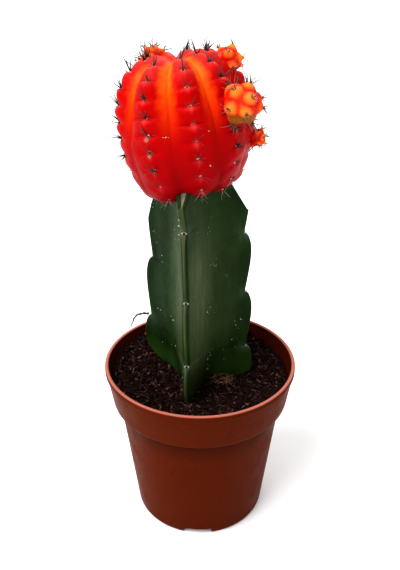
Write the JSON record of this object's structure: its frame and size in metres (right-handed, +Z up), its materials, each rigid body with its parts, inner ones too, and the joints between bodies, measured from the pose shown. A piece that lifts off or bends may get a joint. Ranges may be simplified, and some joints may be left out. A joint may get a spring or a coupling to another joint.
{
  "type": "potted moon cactus",
  "caption": "Grafted moon cactus: a ribbed red globe with small orange offsets on a green three-winged stem, rooted in peat in a round brown nursery pot.",
  "frame": {"origin": "centre of the pot's foot, on the surface that the pot stands on", "axes": "+Z up along the plant; -Y is the front, where the middle wing of the stem shows; +X to the right"},
  "size_m": [0.065, 0.065, 0.1614],
  "materials": {
    "pot_plastic": "satin",
    "peat": "matte",
    "stem_skin": "satin",
    "globe_skin": "satin",
    "offset_skin": "satin",
    "spines": "matte",
    "dry_root": "matte"
  },
  "bodies": {
    "root": {"pot": "pot_plastic", "soil": "peat", "rootstock": "stem_skin", "scion": "globe_skin", "offset_1": "offset_skin", "offset_2": "offset_skin", "offset_3": "offset_skin", "offset_4": "offset_skin", "aerial_root": "dry_root", "spines_1_1": "spines", "spines_1_2": "spines", "spines_1_3": "spines", "spines_1_4": "spines", "spines_1_5": "spines", "spines_2_1": "spines", "spines_2_2": "spines", "spines_2_3": "spines", "spines_2_4": "spines", "spines_2_5": "spines", "spines_3_1": "spines", "spines_3_2": "spines", "spines_3_3": "spines", "spines_3_4": "spines", "spines_3_5": "spines", "spines_4_1": "spines", "spines_4_2": "spines", "spines_5_5": "spines", "spines_6_1": "spines", "spines_6_2": "spines", "spines_6_3": "spines", "spines_6_4": "spines", "spines_6_5": "spines", "spines_7_1": "spines", "spines_7_2": "spines", "spines_7_3": "spines", "spines_7_4": "spines", "spines_7_5": "spines", "spines_8_3": "spines", "spines_8_4": "spines", "spines_8_5": "spines", "spines_9_3": "spines", "spines_9_4": "spines", "spines_9_5": "spines"}
  },
  "joints": []
}
